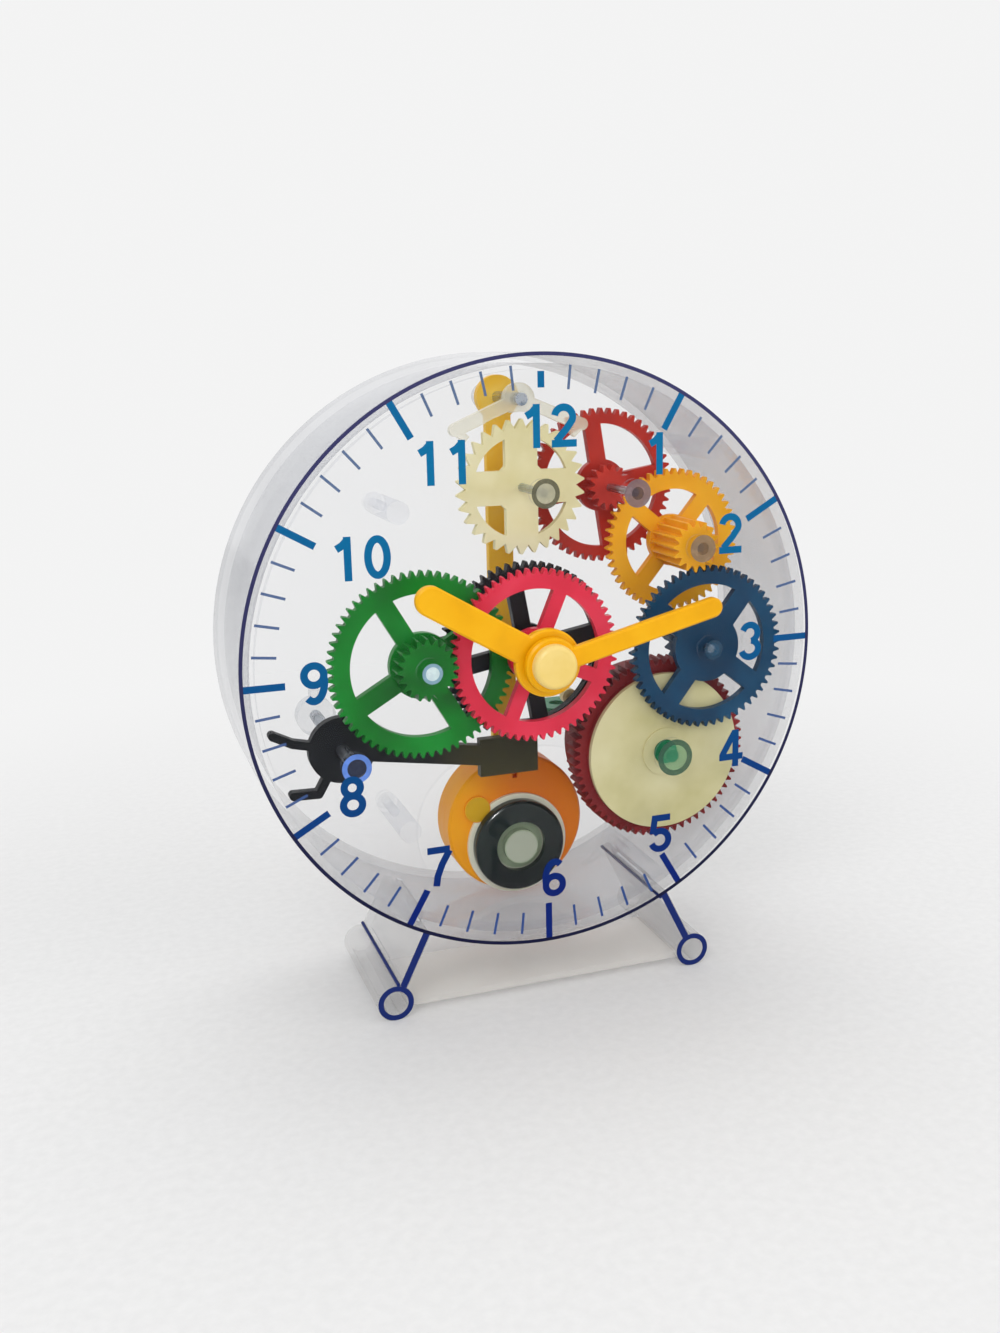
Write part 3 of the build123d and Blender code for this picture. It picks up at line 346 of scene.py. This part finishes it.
# Printing ink: one tone at the top of the dial, a deeper one towards the bottom, slightly worn
def ink(name, top, bottom, alpha):
    mat, tree, shader = new_material(name)
    coords = tree.nodes.new("ShaderNodeTexCoord")
    split = tree.nodes.new("ShaderNodeSeparateXYZ")
    tree.links.new(coords.outputs["Object"], split.inputs["Vector"])
    height = tree.nodes.new("ShaderNodeMapRange")
    height.inputs["From Min"].default_value = DIAL_Z - DIAL_RADIUS
    height.inputs["From Max"].default_value = DIAL_Z + DIAL_RADIUS
    tree.links.new(split.outputs["Z"], height.inputs["Value"])
    tone = ramp(tree, height.outputs["Result"], INK_STOPS, map(colour, (bottom, top)))
    speck = noise(tree, object_coordinates(tree), SPECK_SCALE, 2)
    wear = ramp(tree, speck, WEAR_STOPS, (WEAR_TINT, WHITE))
    worn = colour_mix(tree)
    worn.blend_type = "MULTIPLY"
    worn.inputs["Factor"].default_value = WEAR_FACTOR
    tree.links.new(tone, worn.inputs[MIX_FIRST])
    tree.links.new(wear, worn.inputs[MIX_SECOND])
    tree.links.new(worn.outputs[MIX_COLOUR], shader.inputs["Base Color"])
    tree.links.new(span(tree, speck, *INK_ROUGH), shader.inputs["Roughness"])
    shader.inputs["Specular IOR Level"].default_value = INK_SPECULAR
    shader.inputs["Alpha"].default_value = alpha
    return mat


# Tinted see-through colour of the boss marks, which paint the shading of the clear bosses
def tinted(name, code, alpha):
    mat, tree, shader = new_material(name)
    cloud = noise(tree, object_coordinates(tree), MARK_SCALE, 2)
    base = colour(code)
    paler = tuple(min(1.0, part * MARK_PALER) for part in base[:3]) + (1.0,)
    tree.links.new(ramp(tree, cloud, TONE_STOPS, (base, paler)), shader.inputs["Base Color"])
    tree.links.new(span(tree, cloud, *MARK_ROUGH), shader.inputs["Roughness"])
    shader.inputs["Alpha"].default_value = alpha
    return mat


# Materials of the nodes
YELLOW = plastic("yellow_moulding", "E6A300", "F2AF02", "F8BC14", (0.28, 0.42), 0.1)
# The cap's paler yellow is a painted highlight on the same yellow plastic as the hands
CAP_PAINTED_HIGHLIGHT = plastic("cap_painted_highlight", "E9C766", "F3D684", "F9E2A4", (0.26, 0.4), 0.1)
# The rod's brighter yellow is painted light, making up for the shade behind the plate
ROD_PAINTED_LIGHT = plastic("rod_painted_light", "F0B420", "FFC82C", "FFD85C", (0.32, 0.5))
PINK = plastic("pink_moulding", "D2233C", "E42E4A", "EE4660")
GREEN = plastic("green_moulding", "046116", "057A1E", "0C8E2C")
BLUE = plastic("blue_moulding", "042A45", "063A5A", "0E4C70")
RED = plastic("red_moulding", "A8251A", "C03020", "CE4230")
AMBER = plastic("amber_moulding", "DE960A", "F2AA10", "FABB2A")
CREAM = plastic("cream_moulding", "DACF95", "E8DFB0", "F0EAC6", (0.34, 0.5))
LID = plastic("lid_moulding", "C2BB86", "D1CA9A", "DCD6AC", (0.4, 0.56), 0.16)
MAROON = plastic("maroon_moulding", "6A0F12", "801A1B", "952628", (0.32, 0.48), 0.14)
BLACK = plastic("black_moulding", "0A0A0C", "141518", "22242A", (0.34, 0.52), 0.2)
CREAM_SPRING = plastic("spring_moulding", "D8CB90", "E8DDAA", "F2EAC6", (0.36, 0.5))
WINDER_GREEN = plastic("winder_moulding", "0C5D3A", "16774C", "2A8C60", (0.3, 0.46), 0.14, 0.1)
# The weight's greenish tint is a painted reflection on black steel
DARK_STEEL_PAINTED_REFLECTION = plastic("dark_steel", "040C08", "07140E", "0E2018", (0.14, 0.24), 0.04, 0.35)
STEEL = metal("steel_wire", "8E949C", "C6CBD1", (0.2, 0.36), (1, 0.06, 1))
BRASS = metal("stamped_brass", "A8863C", "D8B865", (0.24, 0.4), (1, 0.3, 1))
SPRING_STEEL = metal("spring_steel", "5F656E", "9AA1AA", (0.22, 0.4), (1, 0.1, 1))

bob_low, bob_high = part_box("bob")
BOB_HALF = (bob_high.x - bob_low.x) / 2
# The bob's yellower left side is painted light over its orange; the stud patch is its own colour
ORANGE_PAINTED_LIGHT = graded("orange_painted_light", ("EE9A00", "F6AC0A"), ("E67400", "F08404"),
                middle("bob"), ALONG_X, -BOB_HALF, BOB_PAINTED_LIGHT_SHARE * BOB_HALF)
patch(ORANGE_PAINTED_LIGHT, "CFA20C", middle("bob") + STUD_OFFSET, STUD_RADIUS)
# The holder runs from green-grey at the hub to cream; the lighter disc on the hub's face is painted light and
# the darker ring left round it is painted shade of the hub's side
PALE_LIT_HUB = graded("pale_lit_hub", ("84947A", "98A78A"), ("E0DEC4", "EFEEDC"),
              middle("weight_holder"), ROUND_Y, HUB_END, HOLDER_START, outwards=True)
patch(PALE_LIT_HUB, "A9B09E", middle("weight_holder"), HUB_LIT_FACE)
LEVER = graded("lever_moulding", ("08090A", "141618"), ("2A2710", "3C381C"),
               middle("stop_lever"), ALONG_X, SHOE_FADE_START, SHOE_FADE_END, (0.34, 0.5))

MATERIALS = {
    "front_cover": clear("clear_cover", ("AEB4C8", "C2C8D8"), 0.008, 0.34, 0.3),
    "rear_case": clear("clear_case", ("A9ABB2", "C4C6CC"), 0.05, 0.75, 0.45),
    "movement_plate": clear("clear_plate", ("ABB0BE", "C2C6D2"), 0.016, 0.16, 0.3),
    "left_leg": clear("clear_leg_left", ("BEBEC0", "D2D1D0"), 0.14, 0.5, 0.4),
    "right_leg": clear("clear_leg_right", ("BEBEC0", "D2D1D0"), 0.14, 0.5, 0.4),
    # The bridge's lighter tint is painted light, making up for the drum's shadow on it
    "foot_bridge": clear("clear_bridge_painted_light", ("F2EFE9", "FAF7F2"), 0.24, 0.6, 0.4),
    "plate_screws": clear("clear_screws", ("C3C8D2", "D4D8E0"), 0.02, 0.12, 0.3),
    "lever_knob": clear("clear_knob", ("B4BAC6", "CACFD8"), 0.1, 0.5, 0.4),
    "anchor": clear("pale_anchor", ("E4DFC4", "F0ECD8"), 0.4, 0.7, 0.4, (0.3, 0.45)),
    "minute_hand": YELLOW,
    "hour_hand": YELLOW,
    "hand_cap": CAP_PAINTED_HIGHLIGHT,
    "pendulum_rod": ROD_PAINTED_LIGHT,
    "hour_wheel": PINK,
    "motion_wheel": GREEN,
    "blue_wheel": BLUE,
    "red_wheel": RED,
    "amber_wheel": AMBER,
    "escape_wheel": CREAM,
    "barrel_lid": LID,
    "mainspring_barrel": MAROON,
    "centre_wheel": BLACK,
    "cannon_pinion": BLACK,
    "bob": ORANGE_PAINTED_LIGHT,
    "weight_holder": PALE_LIT_HUB,
    "bob_weight": DARK_STEEL_PAINTED_REFLECTION,
    "ratchet_wheel": BRASS,
    "stop_lever": LEVER,
    "click_spring": CREAM_SPRING,
    "winding_arbor": WINDER_GREEN,
    "winding_key": WINDER_GREEN,
    "mainspring": SPRING_STEEL,
    "clutch_spring": SPRING_STEEL,
    "blue_axle": STEEL,
    "amber_axle": STEEL,
    "red_axle": STEEL,
    "escape_axle": STEEL,
    "motion_axle": STEEL,
    "minute_arbor": STEEL,
    "pivot_pin": STEEL,
    "lever_pin": STEEL,
}
for name, node in nodes.items():
    node.data.materials.clear()
    node.data.materials.append(MATERIALS[name])


# Building blocks of the printed pieces
def dial_point(radius, degrees):
    angle = math.radians(degrees)
    return Vector((DIAL_X + radius * math.sin(angle), DIAL_Y, DIAL_Z + radius * math.cos(angle)))


def mesh_of(name, bm):
    bmesh.ops.recalc_face_normals(bm, faces=bm.faces)
    mesh = bpy.data.meshes.new(name)
    bm.to_mesh(mesh)
    bm.free()
    return mesh


def finish_print(name, bm, *mats, slot="blue_plastic"):
    mesh = mesh_of(name, bm)
    for mat in mats:
        mesh.materials.append(mat)
    piece = bpy.data.objects.new(name, mesh)
    scene.collection.objects.link(piece)
    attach(piece, "case")


def join_loops(bm, first, second):
    count = len(first)
    for i in range(count):
        j = (i + 1) % count
        bm.faces.new((first[i], first[j], second[j], second[i]))


def prism(bm, outline, front, back):
    front_loop = [bm.verts.new((p.x, front, p.z)) for p in outline]
    back_loop = [bm.verts.new((p.x, back, p.z)) for p in outline]
    bm.faces.new(front_loop)
    bm.faces.new(list(reversed(back_loop)))
    join_loops(bm, back_loop, front_loop)


def strip(start, end, width):
    along = (end - start).normalized()
    side = Vector((along.z, 0, -along.x)) * width / 2
    return [start - side, start + side, end + side, end - side]


# Flat ring, cut off at the floor where one is given. A second material fills its middle
def ring_piece(name, centre, outer, inner, front, back, mats, floor=None, slot="blue_plastic", steps=48):
    bm = bmesh.new()
    loops = []
    for radius, depth in ((outer, back), (outer, front), (inner, front), (inner, back)):
        loop = []
        for i in range(steps):
            turn = 2 * math.pi * i / steps
            height = centre.z + radius * math.cos(turn)
            if floor is not None:
                height = max(height, floor)
            loop.append(bm.verts.new((centre.x + radius * math.sin(turn), depth, height)))
        loops.append(loop)
    outer_back, outer_front, inner_front, inner_back = loops
    filled = len(mats) > 1
    join_loops(bm, outer_back, outer_front)
    join_loops(bm, outer_front, inner_front)
    if not filled:
        join_loops(bm, inner_front, inner_back)
    join_loops(bm, inner_back, outer_back)
    if filled:
        for loop in (inner_front, inner_back):
            bm.faces.new(loop).material_index = 1
    finish_print(name, bm, *mats, slot=slot)


def rod_line(name, start, end, radius, mat, steps=10):
    along = (end - start).normalized()
    across = along.orthogonal().normalized()
    third = along.cross(across)
    bm = bmesh.new()
    loops = []
    for spot in (start, end):
        loop = []
        for i in range(steps):
            turn = 2 * math.pi * i / steps
            loop.append(bm.verts.new(spot + (across * math.cos(turn) + third * math.sin(turn)) * radius))
        loops.append(loop)
    join_loops(bm, *loops)
    for loop in loops:
        bm.faces.new(loop)
    finish_print(name, bm, mat)


def tick_outline(degrees, outer, length, width):
    return strip(dial_point(outer, degrees), dial_point(outer - length, degrees), width)


# Rim line and ticks
NAVY_INK = ink("rim_ink", "3A3A66", "101338", 0.95)
BLUE_INK = ink("tick_ink", "00669A", "001F72", 0.97)
NUMBER_INK = ink("number_ink", "006E9E", "001C6C", 1.0)
FAINT_INK = ink("minute_ink", "5D7398", "33508F", 0.85)
STAND_INK = ink("stand_ink", "1C3078", "182A6C", 0.97)

ring_piece("rim_line", DIAL_SPOT, DIAL_RADIUS, RIM_INNER, INK_FRONT, INK_BACK, [NAVY_INK], steps=RIM_STEPS)

bm = bmesh.new()
for hour in range(HOURS):
    outer = RIM_INNER
    length = HOUR_TICK_LONG
    if hour == 0:
        outer = DIAL_RADIUS - TWELVE_TICK_INSET
        length = TWELVE_TICK_LONG
    prism(bm, tick_outline(HOUR_DEGREES * hour, outer, length, HOUR_TICK_WIDE), INK_FRONT, INK_BACK)
finish_print("hour_ticks", bm, BLUE_INK)

bm = bmesh.new()
for minute in range(MINUTES):
    if minute % MINUTES_PER_HOUR_MARK:
        outer = DIAL_RADIUS - MINUTE_TICK_INSET
        outline = tick_outline(MINUTE_DEGREES * minute, outer, MINUTE_TICK_LONG, MINUTE_TICK_WIDE)
        prism(bm, outline, INK_FRONT, INK_BACK)
finish_print("minute_ticks", bm, FAINT_INK)


# Centre lines of the digits in shares of their height: x from the middle, y from the foot
def bow(cx, cy, rx, ry, start, end, steps=20):
    points = []
    for i in range(steps + 1):
        turn = math.radians(start + (end - start) * i / steps)
        points.append((cx + rx * math.cos(turn), cy + ry * math.sin(turn)))
    return points


def oval(cx, cy, rx, ry, steps=32):
    return bow(cx, cy, rx, ry, 0, 360, steps)[:-1]


# Each stroke has its points and whether it is closed
DIGITS = {
    "0": [(oval(0, 0.5, 0.22, 0.41, 40), True)],
    "1": [([(0.06, 0.0), (0.06, 1.0)], False),
          ([(0.04, 0.9), (-0.06, 0.8), (-0.19, 0.73)], False)],
    "2": [(bow(-0.01, 0.69, 0.225, 0.22, 170, -22) + [(0.06, 0.42), (-0.2, 0.14)], False),
          ([(-0.31, 0.085), (0.31, 0.085)], False)],
    "3": [(bow(-0.02, 0.7, 0.21, 0.21, 160, -80), False),
          (bow(-0.02, 0.3, 0.235, 0.215, 80, -165), False)],
    "4": [([(0.12, 0.0), (0.12, 0.98)], False),
          ([(0.1, 0.94), (-0.26, 0.32)], False),
          ([(-0.34, 0.27), (0.33, 0.27)], False)],
    "5": [([(0.27, 0.915), (-0.16, 0.915), (-0.22, 0.5)], False),
          (bow(-0.02, 0.325, 0.24, 0.24, 135, -160), False)],
    "6": [(oval(0, 0.31, 0.225, 0.225), True),
          (bow(0.02, 0.46, 0.25, 0.45, 55, 190), False)],
    "7": [([(-0.3, 0.915), (0.26, 0.915)], False),
          ([(0.25, 0.88), (0.06, 0.55), (-0.06, 0.25), (-0.1, 0.0)], False)],
    "8": [(oval(0, 0.715, 0.19, 0.19), True),
          (oval(0, 0.3, 0.225, 0.215), True)],
    "9": [(oval(0, 0.69, 0.225, 0.225), True),
          (bow(-0.02, 0.54, 0.25, 0.45, 10, -125), False)],
}


def stroke_outline(bm, points, closed, width, depth):
    count = len(points)
    left = []
    right = []
    for i, point in enumerate(points):
        before = points[i - 1] if closed or i else point
        after = points[(i + 1) % count] if closed or i < count - 1 else point
        one = (point - before).normalized() if before != point else (after - point).normalized()
        two = (after - point).normalized() if after != point else one
        along = (one + two).normalized()
        across = Vector((-along.y, along.x)) * width / 2 / max(MITRE_LIMIT, along.dot(one))
        left.append(bm.verts.new((point.x + across.x, depth, point.y + across.y)))
        right.append(bm.verts.new((point.x - across.x, depth, point.y - across.y)))
    for i in range(count if closed else count - 1):
        j = (i + 1) % count
        bm.faces.new((left[i], left[j], right[j], right[i]))


# The strokes of a digit lie in thin layers, so that no two of their faces share a plane
def number_piece(hour):
    bm = bmesh.new()
    text = str(hour)
    spot = dial_point(NUMBER_RADIUS, HOUR_DEGREES * hour)
    spot.x += NUMBER_SHIFTS.get(hour, 0) * MM
    for place, digit in enumerate(text):
        shift = (place - (len(text) - 1) / 2) * ADVANCE
        for layer, (points, closed) in enumerate(DIGITS[digit]):
            line = [Vector((spot.x + (x + shift) * NUMBER_HEIGHT, spot.z + (y - 0.5) * NUMBER_HEIGHT))
                    for x, y in points]
            stroke_outline(bm, line, closed, STROKE_WIDE, INK_BACK - layer * STROKE_LAYER)
    shell = bmesh.ops.extrude_face_region(bm, geom=bm.faces[:])
    lifted = [v for v in shell["geom"] if isinstance(v, bmesh.types.BMVert)]
    bmesh.ops.translate(bm, verts=lifted, vec=(0, -INK_THICK, 0))
    finish_print(f"number_{hour}", bm, NUMBER_INK)


for hour in range(1, HOURS + 1):
    number_piece(hour)

# Printed stand edges: a ring on each foot, the front edge of each leg and a line along its depth
for side in ("left", "right"):
    leg_low, leg_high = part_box(f"{side}_leg")
    foot_x = leg_low.x + FOOT_RADIUS if side == "left" else leg_high.x - FOOT_RADIUS
    foot = Vector((foot_x, DIAL_Y, FOOT_RADIUS))
    ring_piece(f"foot_ring_{side}", foot, FOOT_RADIUS, FOOT_BORE, INK_FRONT, INK_BACK, [STAND_INK], floor=0.0)
    toward = (DIAL_SPOT - foot).normalized()
    outward = Vector((-toward.z, 0, toward.x))
    reach = (DIAL_SPOT - foot).length - DIAL_RADIUS
    bm = bmesh.new()
    prism(bm, strip(foot + toward * FOOT_RADIUS, foot + toward * reach, EDGE_WIDE), INK_FRONT, INK_BACK)
    finish_print(f"leg_edge_{side}", bm, STAND_INK)
    if side == "left":
        root = foot + toward * (FOOT_RADIUS + LEFT_LINE_RISE) + outward * LEFT_LINE_OUT
    else:
        root = foot + toward * (reach - RIGHT_LINE_DROP) + outward * RIGHT_LINE_OUT
    rear = root + Vector((0, leg_high.y - DIAL_Y, 0))
    rod_line(f"leg_line_{side}", root, rear, LINE_RADIUS, STAND_INK)

# Bearing boss marks on the cover are painted shade: tinted discs in place of the shading of the clear bosses
# seen end on, with a rim and middle of two tones. Each row gives outer and inner radius in mm, then colour
# and alpha of rim and middle.
# They lie between the front and back of the printed numbers, so that a number covers a mark
BOSS_FRONT = INK_BACK - 0.6 * INK_THICK
BOSS_BACK = INK_BACK - 0.25 * INK_THICK
BOSS_PAINTED_SHADE = (
    ("red_axle", 3.3, 1.5, "7A6468", 0.72, "4A3A40", 0.7),
    ("amber_axle", 3.3, 1.5, "8A7258", 0.72, "6A5440", 0.65),
    ("escape_axle", 3.4, 2.3, "5E5C46", 0.78, "A8A690", 0.6),
    ("motion_axle", 2.4, 1.6, "8FB0C8", 0.55, "D6E6F2", 0.6),
    ("blue_axle", 2.4, 1.6, "16405A", 0.45, "2E5C78", 0.25),
    ("winding_arbor", 4.6, 3.2, "2A5640", 0.72, "3C8E66", 0.35),
    ("lever_pin", 3.4, 2.2, "5A82D2", 0.85, "1A2440", 0.7),
)
for node, outer, inner, rim_code, rim_alpha, middle_code, middle_alpha in BOSS_PAINTED_SHADE:
    mats = [
        tinted(f"boss_rim_{node}", rim_code, rim_alpha),
        tinted(f"boss_middle_{node}", middle_code, middle_alpha),
    ]
    ring_piece(f"boss_{node}", middle(node), outer * MM, inner * MM, BOSS_FRONT, BOSS_BACK, mats,
               slot="clear_cover")

# Floor: paper that keeps the shadow near the clock and fades to the backdrop further out, in metres
FLOOR_HALF = 8.0
FADE_START = 0.1
FADE_END = 0.34
bm = bmesh.new()
corners = ((-1, -1), (1, -1), (1, 1), (-1, 1))
bm.faces.new([bm.verts.new((x * FLOOR_HALF, y * FLOOR_HALF, 0)) for x, y in corners])
floor = bpy.data.objects.new("floor", mesh_of("floor", bm))
scene.collection.objects.link(floor)
floor_mat, tree, shader = new_material("studio_paper")
paper = noise(tree, object_coordinates(tree), PAPER_SCALE, 3)
paper_tone = ramp(tree, paper, TONE_STOPS, map(colour, ("DFDFDF", "E4E4E4")))
tree.links.new(paper_tone, shader.inputs["Base Color"])
shader.inputs["Roughness"].default_value = PAPER_ROUGH
shader.inputs["Specular IOR Level"].default_value = PAPER_SPECULAR
glow = tree.nodes.new("ShaderNodeEmission")
glow.inputs["Color"].default_value = BACKDROP
coords = tree.nodes.new("ShaderNodeTexCoord")
away = vector_math(tree, "LENGTH", coords.outputs["Object"])
path = tree.nodes.new("ShaderNodeLightPath")
seen = tree.nodes.new("ShaderNodeMath")
seen.operation = "MULTIPLY"
tree.links.new(smooth_step(tree, away.outputs["Value"], FADE_START, FADE_END), seen.inputs[0])
tree.links.new(path.outputs["Is Camera Ray"], seen.inputs[1])
blend = tree.nodes.new("ShaderNodeMixShader")
tree.links.new(seen.outputs[0], blend.inputs["Fac"])
tree.links.new(shader.outputs["BSDF"], blend.inputs[1])
tree.links.new(glow.outputs["Emission"], blend.inputs[2])
tree.links.new(blend.outputs["Shader"], tree.nodes["Material Output"].inputs["Surface"])
floor.data.materials.append(floor_mat)

# World: camera, glossy and transmission rays see the backdrop, other rays get the light
WORLD_LIGHT = 0.72
world = bpy.data.worlds.new("studio")
scene.world = world
world.use_nodes = True
sky = world.node_tree
lit = sky.nodes["Background"]
lit.inputs["Color"].default_value = WHITE
lit.inputs["Strength"].default_value = WORLD_LIGHT
shown = sky.nodes.new("ShaderNodeBackground")
shown.inputs["Color"].default_value = BACKDROP
shown.inputs["Strength"].default_value = 1.0
path = sky.nodes.new("ShaderNodeLightPath")
factor = path.outputs["Is Camera Ray"]
for ray in ("Is Glossy Ray", "Is Transmission Ray"):
    either = sky.nodes.new("ShaderNodeMath")
    either.operation = "MAXIMUM"
    sky.links.new(factor, either.inputs[0])
    sky.links.new(path.outputs[ray], either.inputs[1])
    factor = either.outputs[0]
pick = sky.nodes.new("ShaderNodeMixShader")
sky.links.new(factor, pick.inputs["Fac"])
sky.links.new(lit.outputs["Background"], pick.inputs[1])
sky.links.new(shown.outputs["Background"], pick.inputs[2])
sky.links.new(pick.outputs["Shader"], sky.nodes["World Output"].inputs["Surface"])

# Lamps: place and size in metres and power in watts, all aimed at the middle of the dial
AIM = Vector((DIAL_X, 0, DIAL_Z))


def area(name, spot, size, power):
    lamp = bpy.data.lights.new(name, "AREA")
    lamp.shape = "RECTANGLE"
    lamp.size, lamp.size_y = size
    lamp.energy = power
    piece = bpy.data.objects.new(name, lamp)
    piece.location = spot
    piece.rotation_euler = (AIM - Vector(spot)).to_track_quat("-Z", "Y").to_euler()
    scene.collection.objects.link(piece)
    return piece


area("key", (-0.55, -0.75, 0.85), (0.6, 0.6), 4.0)
area("fill", (0.75, -0.6, 0.45), (0.7, 0.7), 2.2)
area("top", (0.05, 0.35, 0.95), (0.8, 0.5), 2.4)
# The glint only makes highlights
glint = area("glint", (-0.5, -0.7, 0.8), (0.25, 0.25), 12.0)
glint.visible_diffuse = False
glint.visible_transmission = False

# Camera, fitted to the photo: lens and middle in the photo's pixels, other lengths in metres or mm of sensor
PHOTO_PX = (1000, 1333)
LONG_PX = max(PHOTO_PX)
FOCAL_PX = 1333.4
CENTRE_PX = (545.06, 660.99)
SENSOR_MM = 36.0
CLIP_START = 0.01
CAM_AZ = math.radians(-20.17)
CAM_EL = math.radians(13.13)
CAM_ROLL = math.radians(-0.877)
CAM_DISTANCE = 0.3094
CLEAR_LAYERS = 32
camera = bpy.data.cameras.new("camera")
camera.sensor_fit = "AUTO"
camera.sensor_width = SENSOR_MM
camera.lens = SENSOR_MM * FOCAL_PX / LONG_PX
camera.shift_x = -(CENTRE_PX[0] - PHOTO_PX[0] / 2) / LONG_PX
camera.shift_y = (CENTRE_PX[1] - PHOTO_PX[1] / 2) / LONG_PX
camera.clip_start = CLIP_START
eye = bpy.data.objects.new("camera", camera)
level = math.cos(CAM_EL)
backward = Vector((math.sin(CAM_AZ) * level, -math.cos(CAM_AZ) * level, math.sin(CAM_EL)))
flat_right = Vector((math.cos(CAM_AZ), math.sin(CAM_AZ), 0))
flat_up = backward.cross(flat_right)
rightward = flat_right * math.cos(CAM_ROLL) + flat_up * math.sin(CAM_ROLL)
upward = flat_up * math.cos(CAM_ROLL) - flat_right * math.sin(CAM_ROLL)
turned = Matrix((rightward, upward, backward)).transposed().to_4x4()
eye.matrix_world = Matrix.Translation(DIAL_SPOT + backward * CAM_DISTANCE) @ turned
scene.collection.objects.link(eye)
scene.camera = eye
scene.view_settings.view_transform = "Standard"
scene.cycles.transparent_max_bounces = CLEAR_LAYERS
